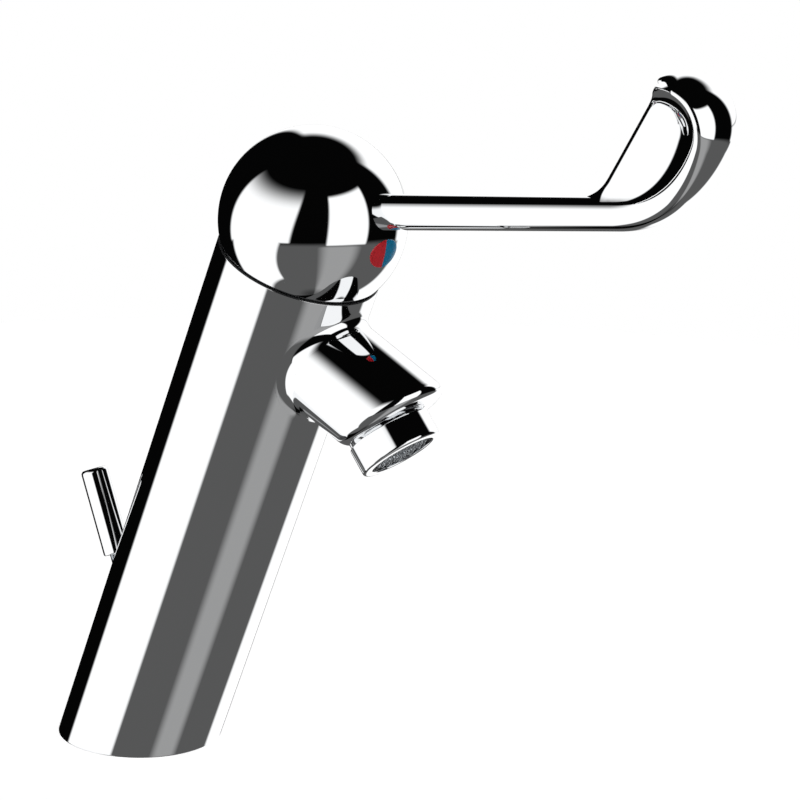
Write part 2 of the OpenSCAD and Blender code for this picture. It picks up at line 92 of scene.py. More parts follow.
def tint(name, description, text):
    """A colour property given in sRGB hex and kept as linear red, green, blue and alpha."""
    return bpy.props.FloatVectorProperty(
        name=name, description=description, default=colour(text), size=4, min=0.0, max=1.0,
        subtype="COLOR",
    )


class TapBarrelSizes(bpy.types.PropertyGroup):
    """Sizes of the barrel, the seat ring's lip, the spout and the aerator."""

    radius: length("Barrel radius", "Outside radius of the leaning barrel", 25)
    lean: angle("Lean", "Lean of the barrel from upright, towards the user", 23)
    rim: length("Rim height", "Height of the barrel's rim along its axis", 177.55)
    base_edge: length("Base edge", "Rounding of the base's outer edge", 0.5)
    rim_edge: length("Rim edge", "Rounding of the rim's outer edge", 0.15)
    bore_edge: length("Bore edge", "Rounding of the base's inner edge", 0.3)
    seat_z: length("Seat height", "Height of the counterbore under the ball", 170)
    seat_radius: length("Seat radius", "Radius of the counterbore under the ball", 24)
    bore_z: length("Bore step", "Height of the step that the valve block stands on", 116)
    upper_bore: length("Upper bore", "Radius of the bore round the cartridge", 21)
    lower_bore: length("Lower bore", "Radius of the bore below the valve block", 20)
    lip_gap: length("Lip gap", "Gap between the ball and the seat ring's lip", 0.13)
    lip_rise: length("Lip rise", "Height of the lip above the rim", 0.25)
    lip_depth: length("Lip depth", "Depth of the lip below the rim", 0.9)
    spout_z: length("Spout height", "Height of the spout's axis along the barrel", 156)
    spout_radius: length("Spout radius", "Outside radius of the spout", 16)
    spout_droop: angle("Spout droop", "Droop of the spout from square to the barrel", 3.5)
    spout_start: length("Spout start", "Distance along the spout to its end in the wall", 17)
    spout_reach: length("Spout reach", "Distance along the spout to the outlet's corner", 39.7)
    outlet_turn: angle("Outlet turn", "Turn of the outlet from the spout's axis", 25.5)
    outlet_length: length("Outlet length", "Distance from the corner to the cut end", 10.6)
    spout_edge: length("Spout edge", "Rounding of the spout's cut end", 4.2)
    spout_fillet: length("Spout fillet", "Width of the curve from spout to barrel", 3.5)
    collar_radius: length("Collar radius", "Outside radius of the aerator's collar", 12.9)
    collar_length: length("Collar length", "Length of the collar below the spout's end", 9.2)
    collar_bore: length("Collar bore", "Radius of the bore in the collar", 9.95)
    collar_groove: length("Collar groove", "Depth and height of the groove at its top", 0.7)
    collar_root: length("Collar root", "Length of the collar inside the spout", 3)
    collar_shoulder: length("Collar shoulder", "Rounding of the collar below its groove", 0.25)
    collar_mouth: length("Collar mouth", "Rounding of the mouth's outer edge", 0.9)
    collar_lip: length("Collar lip", "Rounding of the mouth's inner edge", 0.4)
    grille_radius: length("Grille radius", "Radius of the grille in the mouth", 8.3)
    grille_depth: length("Grille depth", "Distance of the grille's face inside the mouth", 0.8)
    grille_thick: length("Grille thickness", "Thickness of the grille behind its face", 1)
    grille_wave: length("Grille wave", "Height of the waves in the grille's face", 0.5)
    grille_pitch: length("Grille pitch", "Distance between the waves", 2.6)
    grille_spokes: bpy.props.IntProperty(
        name="Grille spokes", description="Number of waves round the grille", default=14, min=1,
        subtype="UNSIGNED",
    )


class TapHandleSizes(bpy.types.PropertyGroup):
    """Sizes of the ball cap, the marker, the lever and the lift rod."""

    ball_radius: length("Ball radius", "Radius of the ball-shaped cap", 28)
    ball_clearance: length("Ball clearance", "Gap between the ball and the barrel's seat", 0.3)
    ball_z: length("Ball height", "Height of the ball's centre along the barrel's axis", 191.5)
    ball_wall: length("Ball wall", "Wall of the cap", 2.5)
    ball_edge: length("Ball edge", "Rounding of the cap's lower edge", 0.35)
    ball_edge_z: length("Ball edge height", "Height of the cap's lower edge", 177.2)
    spindle_tilt: angle("Spindle tilt", "Tilt of the spindle that sets the marker's axis", 10)
    marker_rise: length("Marker rise", "Distance from the ball's centre to the marker's", 9.2)
    marker_width: length("Marker half width", "Half width of the oval marker", 6)
    marker_height: length("Marker half height", "Half height of the oval marker", 4)
    marker_proud: length("Marker proud", "Height of the marker's face above the ball", 0.12)
    marker_wall: length("Marker wall", "Depth of the marker into its recess", 0.6)
    marker_edge: length("Marker edge", "Drop of the marker's face at its edges", 0.06)
    lever_angle: angle("Lever angle", "Angle of the lever above square to the barrel", 29.5)
    lever_offset: length("Lever offset", "Offset of the lever above the ball's centre", 2.6)
    lever_start: length("Lever start", "Distance from the ball's centre to the inner end", 20)
    root_radius: length("Lever root", "Radius of the lever at the cap", 5.4)
    neck_radius: length("Lever neck", "Radius of the lever before its bend", 4.8)
    bend_start: length("Bend start", "Distance from the ball's centre to the bend", 110.5)
    bend_radius: length("Bend radius", "Radius of the bend", 39.3)
    bend_turn: angle("Bend turn", "Turn of the bend", 56.5)
    curl_radius: length("Curl radius", "Radius of the curl that follows the bend", 12.6)
    curl_turn: angle("Curl turn", "Turn of the curl", 141)
    widen_lead: length("Widen lead", "Distance into the bend where the bar widens", 5)
    widest: share("Widest", "Share of the curl where the blade is widest", 0.67)
    blade_width: length("Blade half width", "Half width of the blade at its widest", 10.3)
    blade_thick: length("Blade half thickness", "Half thickness of the blade", 1.5)
    blade_bow: length("Blade bow", "Depth of the blade's bow across its width", 2.4)
    tip_width: length("Tip half width", "Half width of the blade at its tip", 4)
    tip_thick: length("Tip half thickness", "Half thickness of the blade at its tip", 1)
    tip_bow: share("Tip bow", "Bow at the tip, as a share of its half width", 0.15)
    tip_round: length("Tip rounding", "Length of the rounded tip", 1.2)
    web_half: length("Web half thickness", "Half thickness of the web in the bend", 2)
    web_edge: length("Web edge", "Distance over which the web thins to its back edge", 4)
    web_lead: length("Web lead", "Distance before the bend where the web leaves the bar", 7)
    web_fillet: length("Web fillet", "Length of the curve in which the web leaves the bar", 7)
    rod_offset: length("Rod offset", "Distance from the base's centre to the rod's axis", 13)
    rod_lean: angle("Rod lean", "Lean of the lift rod away from the user", 20)
    rod_radius: length("Rod radius", "Radius of the lift rod", 2.5)
    rod_edge: length("Rod edge", "Rounding of the rod's lower end", 0.4)
    rod_start: length("Rod start", "Height of the rod's lower end along its axis", 6)
    knob_start: length("Knob start", "Distance along the rod to the knob", 61.8)
    knob_length: length("Knob length", "Length of the knob", 28)
    knob_radius: length("Knob radius", "Radius of the knob", 4.4)
    knob_foot: length("Knob foot", "Rounding of the knob's lower end", 0.5)
    knob_top: length("Knob top", "Rounding of the knob's upper end", 1.2)


class TapColours(bpy.types.PropertyGroup):
    """Colours of the finishes, by the record's slots, and of the floor."""

    chrome: tint("Chrome", "Mirror of the chrome plate", "#F1F2F3")
    brass: tint("Brass", "Machined brass", "#C9AE62")
    rubber: tint("Rubber", "Black seals", "#1B1C1E")
    white_plastic: tint("White plastic", "Off-white parts of the cartridge", "#E9E9E4")
    ceramic: tint("Ceramic", "Ceramic discs", "#F2F2EE")
    blue_plastic: tint("Blue plastic", "Disc carrier", "#2A5C99")
    grey_plastic: tint("Black plastic", "Seat ring, turret and bush", "#17181A")
    steel: tint("Steel", "Rod, grille and small steel parts", "#B9BEC3")
    red_enamel: tint("Red enamel", "Hot half of the marker", "#EE2F3A")
    blue_enamel: tint("Blue enamel", "Cold half of the marker", "#088FC0")
    paper: tint("Paper", "Floor of the studio", "#F4F4F4")


# Mesh helpers

def unit(v):
    """The vector at length one."""
    v = np.asarray(v, float)
    return v / np.linalg.norm(v)


def turns(count):
    """Equal steps round a full turn, in radians."""
    return np.arange(count) * TURN / count


def other_leg(radius, leg):
    """Root of radius squared less leg squared: a sphere's radius at a height, or the reverse."""
    return np.sqrt(radius ** 2 - leg ** 2)


def bezier(t, start, control, end):
    """The quadratic Bezier curve from start to end that leaves and arrives towards the control."""
    return (1 - t) ** 2 * start + 2 * t * (1 - t) * control + t ** 2 * end


def ease(t):
    """Smooth step from 0 to 1: three times the square less twice the cube."""
    t = np.clip(t, 0, 1)
    return t * t * (3 - 2 * t)


def leaning(lean):
    """The barrel's own axes: forward and square to it, then along it."""
    forward = np.array([math.cos(lean), 0.0, -math.sin(lean)])
    along = np.array([math.sin(lean), 0.0, math.cos(lean)])
    return forward, along


def spout_axes(s):
    """The spout's axes, along it and downwards, and the point where it starts on the barrel's."""
    forward, along = leaning(s.lean)
    axis = math.cos(s.spout_droop) * forward - math.sin(s.spout_droop) * along
    down = -math.sin(s.spout_droop) * forward - math.cos(s.spout_droop) * along
    return axis, down, s.spout_z * along


def spout_ring(axis, down):
    """Angles round the spout from its underside, and the direction out of it at each."""
    a = turns(160)
    return a, np.cos(a)[:, None] * down + np.sin(a)[:, None] * np.cross(axis, down)


def rounded(corners, steps=8, support=0.12 * MM):
    """A profile line through corners given as (radius, height, rounding). Each rounding is an arc
    of that radius, and close points before and after it keep the smooth shading of long straight
    stretches true."""
    line = []
    for k, (r, z, rounding) in enumerate(corners):
        p = np.array([r, z])
        if rounding <= 0:
            line.append(p)
            continue
        before = unit(np.array(corners[k - 1][:2]) - p)
        after = unit(np.array(corners[(k + 1) % len(corners)][:2]) - p)
        half = math.acos(np.clip(before @ after, -1, 1)) / 2
        reach = rounding / math.tan(half)
        start, end = p + before * reach, p + after * reach
        centre = p + unit(before + after) * rounding / math.sin(half)
        swing = math.pi - 2 * half
        t = np.linspace(0, 1, steps + 1)[:, None]
        arc = centre + (start - centre) * np.sin((1 - t) * swing) / math.sin(swing)
        arc = arc + (end - centre) * np.sin(t * swing) / math.sin(swing)
        line += [start + before * support, *arc, end + after * support]
    return np.array(line)


def lathe(profile, origin, across, along, segments=192):
    """Points of a surface of revolution: the radius times the direction round the axis, plus the
    height along it."""
    a = turns(segments)
    ring = np.cos(a)[:, None] * across + np.sin(a)[:, None] * np.cross(along, across)
    return origin + profile[:, 0, None, None] * ring[None] + profile[:, 1, None, None] * along


def grid_mesh(name, points, wrap_rows=False, start_pole=None, end_pole=None):
    """A smooth mesh from a grid of points, rows by columns. Columns always close into a ring. Rows
    close into a ring too, or each end closes on a pole point with a fan of triangles."""
    rows, cols = points.shape[:2]
    co = points.reshape(-1, 3)
    row_count = rows if wrap_rows else rows - 1
    i, j = np.meshgrid(np.arange(row_count), np.arange(cols), indexing="ij")
    a = i * cols + j
    b = i * cols + (j + 1) % cols
    c = ((i + 1) % rows) * cols + (j + 1) % cols
    d = ((i + 1) % rows) * cols + j
    faces = np.stack([a, b, c, d], -1).reshape(-1, 4).tolist()
    ring = np.arange(cols)
    for pole, first, flip in ((start_pole, 0, True), (end_pole, (rows - 1) * cols, False)):
        if pole is None:
            continue
        tip = np.full(cols, len(co))
        co = np.vstack([co, np.asarray(pole, float)[None]])
        near, far = first + ring, first + (ring + 1) % cols
        faces += np.stack([far, near, tip] if flip else [near, far, tip], -1).tolist()
    mesh = bpy.data.meshes.new(name)
    mesh.from_pydata(co.tolist(), [], faces)
    mesh.update()
    mesh.polygons.foreach_set("use_smooth", np.ones(len(mesh.polygons), bool))
    if signed_volume(mesh) < 0:
        mesh.flip_normals()
    obj = bpy.data.objects.new(name, mesh)
    bpy.context.scene.collection.objects.link(obj)
    return obj


def capped_mesh(name, points):
    """A grid mesh whose first and last rows close on their own middles."""
    return grid_mesh(name, points, start_pole=points[0].mean(0), end_pole=points[-1].mean(0))


def signed_volume(mesh):
    """Volume inside the mesh, below zero where its faces point inwards."""
    mesh.calc_loop_triangles()
    co = np.empty(len(mesh.vertices) * 3)
    mesh.vertices.foreach_get("co", co)
    tri = np.empty(len(mesh.loop_triangles) * 3, np.int32)
    mesh.loop_triangles.foreach_get("vertices", tri)
    p = co.reshape(-1, 3)[tri.reshape(-1, 3)]
    return float(np.einsum("ij,ij->i", p[:, 0], np.cross(p[:, 1], p[:, 2])).sum() / 6)


def place(obj, body, slot, *nodes):
    """Hands a finished piece to its body and slot, and hides the solids that it stands for."""
    obj.data.materials.clear()
    obj.data.materials.append(finish(slot))
    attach(obj, body)
    if nodes:
        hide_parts(*nodes)
    return obj


# Materials

def add(tree, kind, links=None, **settings):
    """Adds a node with its settings. A link is a socket to join or a value to set."""
    node = tree.nodes.new(kind)
    for key, value in settings.items():
        setattr(node, key, value)
    for key, value in (links or {}).items():
        if isinstance(value, bpy.types.NodeSocket):
            tree.links.new(value, node.inputs[key])
        else:
            node.inputs[key].default_value = value
    return node


# Slot: material's name, metallic, roughness low and high, grain in mm, bump height in mm
FINISHES = {
    # Electroplated chrome on polished brass: a mirror, with a faint haze that comes and goes
    "chrome": ("chrome_plate_polished", 1.0, (0.01, 0.03), 14.0, 0.0),
    # Machined brass: yellow metal with fine turning marks
    "brass": ("brass_machined", 1.0, (0.25, 0.4), 0.8, 0.01),
    # Moulded nitrile rubber: black and dull, slightly pebbled
    "rubber": ("nitrile_rubber", 0.0, (0.6, 0.8), 0.9, 0.02),
    # Moulded acetal: off-white and waxy
    "white_plastic": ("acetal_white", 0.0, (0.35, 0.5), 1.2, 0.008),
    # Lapped alumina: dense white ceramic with a satin face
    "ceramic": ("alumina_lapped", 0.0, (0.15, 0.25), 0.6, 0.004),
    # Moulded blue acetal of the disc carrier
    "blue_plastic": ("acetal_blue", 0.0, (0.35, 0.5), 1.2, 0.008),
    # Moulded black acetal of the seat ring, the turret and the bush
    "grey_plastic": ("acetal_black", 0.0, (0.4, 0.55), 1.0, 0.01),
    # Drawn stainless steel bar: grey, with a soft brushed sheen
    "steel": ("stainless_drawn", 1.0, (0.14, 0.26), 0.7, 0.004),
    # Fired red enamel of the hot half of the marker
    "red_enamel": ("enamel_red", 0.0, (0.12, 0.2), 1.5, 0.004),
    # Fired blue enamel of the cold half of the marker
    "blue_enamel": ("enamel_blue", 0.0, (0.12, 0.2), 1.5, 0.004),
}


def finish(slot):
    """The material of a record slot: one colour, with roughness and a fine bump from noise at the
    grain's real size."""
    name, metallic, (low, high), grain, bump_mm = FINISHES[slot]
    found = bpy.data.materials.get(name)
    if found:
        return found
    material = bpy.data.materials.new(name)
    material.use_nodes = True
    tree = material.node_tree
    shader = tree.nodes["Principled BSDF"]
    shader.inputs["Base Color"].default_value = getattr(bpy.context.scene.tap_colours, slot)
    shader.inputs["Metallic"].default_value = metallic
    coordinate = add(tree, "ShaderNodeTexCoord")
    grit = add(tree, "ShaderNodeTexNoise", {
        "Vector": coordinate.outputs["Object"], "Scale": 1 / (grain * MM), "Detail": 3.0,
    })
    haze = add(tree, "ShaderNodeMapRange", {
        "Value": grit.outputs["Fac"], "From Min": 0.3, "From Max": 0.7,
        "To Min": low, "To Max": high,
    })
    tree.links.new(haze.outputs["Result"], shader.inputs["Roughness"])
    if bump_mm:
        bump = add(tree, "ShaderNodeBump", {
            "Height": grit.outputs["Fac"], "Distance": bump_mm * MM, "Strength": 0.5,
        })
        tree.links.new(bump.outputs["Normal"], shader.inputs["Normal"])
    return material


# Pieces

class TAP_OT_inner_parts(bpy.types.Operator):
    """Gives each solid that stays as it is the material of its record slot"""

    bl_idname = "tap.inner_parts"
    bl_label = "Inner parts"

    def execute(self, context):
        for row in frame["record"]["subparts"]:
            solid = frame["nodes"][row["node"]]
            solid.data.materials.clear()
            solid.data.materials.append(finish(row["material_slot"]))
        return {"FINISHED"}


class TAP_OT_barrel(bpy.types.Operator):
    """Builds the leaning barrel"""

    bl_idname = "tap.barrel"
    bl_label = "Barrel"

    def execute(self, context):
        s, h = context.scene.tap_barrel, context.scene.tap_handle
        forward, along = leaning(s.lean)
        # The wall's section: up the outside, over the rim, down the spherical seat and the
        # stepped bore
        seat = h.ball_radius + h.ball_clearance
        wall = rounded([
            (s.radius, 0.0, s.base_edge),
            (s.radius, s.rim, s.rim_edge),
            (other_leg(seat, h.ball_z - s.rim), s.rim, 0.0),
            (s.seat_radius, h.ball_z - other_leg(seat, s.seat_radius), 0.0),
            (s.seat_radius, s.seat_z, 0.0),
            (s.upper_bore, s.seat_z, 0.0),
            (s.upper_bore, s.bore_z, 0.0),
            (s.lower_bore, s.bore_z, 0.0),
            (s.lower_bore, 0.0, s.bore_edge),
        ])
        points = lathe(wall, np.zeros(3), forward, along)
        # The base is cut level: near it each point slides along the axis by the slope of that cut
        near_base = wall[:, 1] < 5 * MM
        slope = np.cos(turns(points.shape[1])) * math.tan(s.lean)
        slide = np.where(near_base, wall[:, 0], 0)[:, None] * slope
        barrel = grid_mesh("barrel", points + slide[..., None] * along, wrap_rows=True)
        place(barrel, "tap_body", "chrome", "body")
        return {"FINISHED"}


class TAP_OT_seat_lip(bpy.types.Operator):
    """Builds the black lip of the seat ring that shows in the seam"""

    bl_idname = "tap.seat_lip"
    bl_label = "Seat ring lip"

    def execute(self, context):
        s, h = context.scene.tap_barrel, context.scene.tap_handle
        forward, along = leaning(s.lean)
        # A bead over the rim: its inner side follows a sphere just outside the ball, and its outer
        # side stays just inside the barrel's
        low, foot_inset = s.rim - s.lip_depth, 0.2 * MM
        inner = np.linspace(low, s.rim + s.lip_rise, 8)
        # Across and up from the rim's outer corner, in mm
        shoulder = np.array([(-0.1, 0.2), (-0.03, 0.1), (-0.03, -0.05)]) * MM
        bead = np.vstack([
            np.stack([other_leg(h.ball_radius + s.lip_gap, h.ball_z - inner), inner], -1),
            shoulder + [s.radius, s.rim],
            [[s.radius - foot_inset, low]],
        ])
        points = lathe(bead, np.zeros(3), forward, along)
        place(grid_mesh("seat_ring_lip", points, wrap_rows=True), "tap_body", "grey_plastic")
        return {"FINISHED"}


class TAP_OT_spout(bpy.types.Operator):
    """Builds the spout"""

    bl_idname = "tap.spout"
    bl_label = "Spout"

    def execute(self, context):
        s = context.scene.tap_barrel
        axis, down, root = spout_axes(s)
        a, ring = spout_ring(axis, down)
        # Straight lines along the spout's axis that end on a plane square to the outlet. Rows by
        # radius and distance before that plane: the side, a quarter round edge and the flat end
        support, flat_share = 0.2 * MM, 0.6
        e = np.linspace(0, QUARTER, 10)
        radius = np.concatenate([
            [s.spout_radius],
            s.spout_radius - s.spout_edge * (1 - np.cos(e)),
            [s.spout_radius - s.spout_edge - support, s.spout_radius * flat_share],
        ])
        before = np.concatenate([[s.spout_edge + support], s.spout_edge * (1 - np.sin(e)), [0, 0]])
        lower = radius[:, None] * np.cos(a) * math.sin(s.outlet_turn)
        cut = s.spout_reach + (s.outlet_length - lower) / math.cos(s.outlet_turn)
        # Two close rows inside the barrel's wall come first
        start = s.spout_start + np.array([0, 0.3 * MM])[:, None] + 0 * a
        distance = np.vstack([start, cut - before[:, None]])
        radius = np.concatenate([[s.spout_radius, s.spout_radius], radius])
        shell = root + distance[..., None] * axis + radius[:, None, None] * ring
        place(capped_mesh("spout", shell), "tap_body", "chrome", "spout")
        return {"FINISHED"}


class TAP_OT_spout_fillet(bpy.types.Operator):
    """Builds the fillet in which the spout leaves the barrel"""

    bl_idname = "tap.spout_fillet"
    bl_label = "Spout fillet"

    def execute(self, context):
        s = context.scene.tap_barrel
        forward, along = leaning(s.lean)
        axis, down, root = spout_axes(s)
        a, ring = spout_ring(axis, down)
        # The line where the two cylinders meet, and its place round the barrel and along it
        reach = other_leg(s.radius, s.spout_radius * np.sin(a))
        t = reach + s.spout_radius * np.cos(a) * math.sin(s.spout_droop)
        meet = root + (t / math.cos(s.spout_droop))[:, None] * axis + s.spout_radius * ring
        side, height = np.arctan2(meet @ Y_AXIS, meet @ forward), meet @ along
        # The way from the spout's middle to that line, laid out on the unrolled barrel
        middle = s.spout_z - s.radius * math.tan(s.spout_droop)
        away = np.stack([s.radius * side, height - middle], -1)
        away = away / np.linalg.norm(away, axis=1, keepdims=True)

        def on_barrel(distance, radius):
            """Points at a distance from the meeting line round the barrel, away from the spout."""
            turn = (side + distance * away[:, 0] / s.radius)[:, None]
            level = (height + distance * away[:, 1])[:, None]
            return radius * (np.cos(turn) * forward + np.sin(turn) * Y_AXIS) + level * along

        # A quadratic Bezier curve from the spout's side to the barrel's side. Its ends run on just
        # under both surfaces, and its back lies inside the metal
        sunk, run, back = 0.02 * MM, 0.5 * MM, 1 * MM
        u = np.linspace(0, 1, 20)[:, None, None]
        width = s.spout_fillet
        points = np.concatenate([
            (meet + (width + run) * axis - sunk * ring)[None],
            bezier(u, meet + width * axis, meet, on_barrel(width, s.radius)),
            on_barrel(width + run, s.radius - sunk)[None],
            (meet - back * axis - back * ring)[None],
        ])
        place(grid_mesh("spout_fillet", points, wrap_rows=True), "tap_body", "chrome")
        return {"FINISHED"}


class TAP_OT_cap(bpy.types.Operator):
    """Builds the ball-shaped cap"""

    bl_idname = "tap.cap"
    bl_label = "Ball cap"

    def execute(self, context):
        s, h = context.scene.tap_barrel, context.scene.tap_handle
        forward, along = leaning(s.lean)
        centre = h.ball_z * along
        # Outside and inside spheres by the angle from the top, joined by an eased lower edge
        drop = h.ball_edge_z - h.ball_z
        outer_r, inner_r = h.ball_radius, h.ball_radius - h.ball_wall
        outer_end, inner_end = math.acos(drop / outer_r), math.acos(drop / inner_r)
        ease_in = 0.7 * h.ball_edge
        # Angles of the rows next to the poles
        first, last = 0.012, 0.02
        outer = np.linspace(first, outer_end - h.ball_edge / outer_r, 140)
        inner = np.linspace(inner_end - h.ball_edge / inner_r, last, 60)
        profile = np.vstack([
            np.stack([outer_r * np.sin(outer), outer_r * np.cos(outer)], -1),
            [[outer_r * math.sin(outer_end) - ease_in, drop]],
            [[inner_r * math.sin(inner_end) + ease_in, drop]],
            np.stack([inner_r * np.sin(inner), inner_r * np.cos(inner)], -1),
        ])
        cap = grid_mesh(
            "ball_cap", lathe(profile, centre, forward, along),
            start_pole=centre + outer_r * along, end_pole=centre + inner_r * along,
        )
        place(cap, "handle", "chrome", "handle_cap")
        return {"FINISHED"}


class TAP_OT_marker(bpy.types.Operator):
    """Builds the hot and cold halves of the marker"""

    bl_idname = "tap.marker"
    bl_label = "Marker"

    def execute(self, context):
        s, h = context.scene.tap_barrel, context.scene.tap_handle
        forward, along = leaning(s.lean)
        centre = h.ball_z * along
        out = math.cos(h.spindle_tilt) * forward - math.sin(h.spindle_tilt) * along
        up = math.sin(h.spindle_tilt) * forward + math.cos(h.spindle_tilt) * along
        # Half an oval laid on the ball: rows up its height, and columns from its middle to its
        # edge on the face and back again on the wall in its recess
        count, nearest = 24, 0.004
        turn = np.linspace(-1, 1, 41)[1:-1, None] * QUARTER
        rise = h.marker_rise + h.marker_height * np.sin(turn)
        chord = h.marker_width * np.cos(turn)
        part = np.linspace(nearest, 1, count)
        part = np.concatenate([part, part[::-1]])
        sunk = np.concatenate([np.zeros(count), np.full(count, h.marker_wall)])
        sunk[[0, count - 1]] = h.marker_edge
        for side, node, slot in (
            (-1, "marker_hot", "red_enamel"), (1, "marker_cold", "blue_enamel"),
        ):
            y = side * chord * part
            depth = np.sqrt((h.ball_radius + h.marker_proud) ** 2 - y ** 2 - rise ** 2) - sunk
            level = (rise + 0 * y)[..., None]
            grid = centre + depth[..., None] * out + y[..., None] * Y_AXIS + level * up
            place(capped_mesh(node + "_disc", grid), "handle", slot, node)
        return {"FINISHED"}


class LeverForm:
    """The lever's centre line and section, by the distance along it from the start of its bend."""

    def __init__(self, scene):
        h = scene.tap_handle
        forward, along = leaning(scene.tap_barrel.lean)
        self.sizes = h
        self.centre = h.ball_z * along
        self.ahead = math.cos(h.lever_angle) * forward + math.sin(h.lever_angle) * along
        self.above = -math.sin(h.lever_angle) * forward + math.cos(h.lever_angle) * along
        curl = h.curl_radius * h.curl_turn
        self.bend = h.bend_radius * h.bend_turn
        self.whole = self.bend + curl
        self.widest = self.bend + h.widest * curl

    def line(self, t):
        """Along, above and direction of the centre line: straight, then two arcs."""
        h = self.sizes
        p, q = h.bend_start + np.minimum(t, 0), h.lever_offset + 0 * t
        turn, before, start = 0 * t, 0.0, 0.0
        for radius, swing in ((h.bend_radius, h.bend_turn), (h.curl_radius, h.curl_turn)):
            part = np.clip((t - start) / radius, 0, swing)
            p = p + radius * (np.sin(before + part) - math.sin(before))
            q = q + radius * (math.cos(before) - np.cos(before + part))
            turn, before, start = turn + part, before + swing, start + radius * swing
        return p, q, turn

    def section(self, t):
        """Half width, half thickness and bow: a bar that eases into the blade, then to the tip."""
        h = self.sizes
        grow = ease((t - h.widen_lead) / (self.widest - h.widen_lead))
        close = ease((t - self.widest) / (self.whole - self.widest))
        bar = np.interp(t, [-h.bend_start, 0], [h.root_radius, h.neck_radius])
        width = (bar + (h.blade_width - bar) * grow) * (1 - close) + h.tip_width * close
        thick = (bar + (h.blade_thick - bar) * grow) * (1 - close) + h.tip_thick * close
        return width, thick, grow * (h.blade_bow * (1 - close) + h.tip_bow * width * close)

    def tip(self):
        """Along and above of the curl's end, and the way from it to the end of the rounded tip."""
        p, q, turn = self.line(np.array(self.whole))
        way = np.array([math.cos(turn), math.sin(turn)]) * self.sizes.tip_round
        return np.array([p, q]), way

    def point(self, p, q, y):
        """A point from its place along the lever, above it and across it."""
        return (
            self.centre + p[..., None] * self.ahead + q[..., None] * self.above
            + y[..., None] * Y_AXIS
        )


class TAP_OT_lever(bpy.types.Operator):
    """Builds the elbow lever: a round bar that ends in a bowed blade"""

    bl_idname = "tap.lever"
    bl_label = "Elbow lever"

    def execute(self, context):
        form = LeverForm(context.scene)
        h = form.sizes
        straight_end = -2 * MM
        t = np.concatenate([
            np.linspace(h.lever_start - h.bend_start, straight_end, 20),
            np.linspace(0, form.bend, 70)[:-1],
            np.linspace(form.bend, form.whole, 120),
        ])
        p, q, turn = form.line(t)
        width, thick, bow = form.section(t)
        # The section: a plate with round rims, bowed inwards by the square of its place across. That
        # place is the sine of the turn, eased towards the rims by a cubic
        a = turns(160)
        flat = np.sin(a) * (1.5 - 0.5 * np.sin(a) ** 2)
        across = (width - thick)[:, None] * flat + thick[:, None] * np.sin(a)
        out = thick[:, None] * np.cos(a) - bow[:, None] * flat ** 2
        along_p = p[:, None] + out * np.sin(turn)[:, None]
        along_q = q[:, None] - out * np.cos(turn)[:, None]
        # A rounded tip: the last section shrinks to a point along a quarter of an oval
        last, way = form.tip()
        tip = np.linspace(0, QUARTER, 48)[1:-1, None]
        tip_p = last[0] + way[0] * np.sin(tip) + np.cos(tip) * (along_p[-1] - last[0])
        tip_q = last[1] + way[1] * np.sin(tip) + np.cos(tip) * (along_q[-1] - last[1])
        grid = form.point(
            np.vstack([along_p, tip_p]), np.vstack([along_q, tip_q]),
            np.vstack([across, np.cos(tip) * across[-1]]),
        )
        end_pole = form.point(*(last + way), np.zeros(()))
        lever = grid_mesh("elbow_lever", grid, start_pole=grid[0].mean(0), end_pole=end_pole)
        place(lever, "handle", "chrome", "lever_arm")
        # Its mirror image is kept off the cap's face
        lever.visible_glossy = False
        return {"FINISHED"}


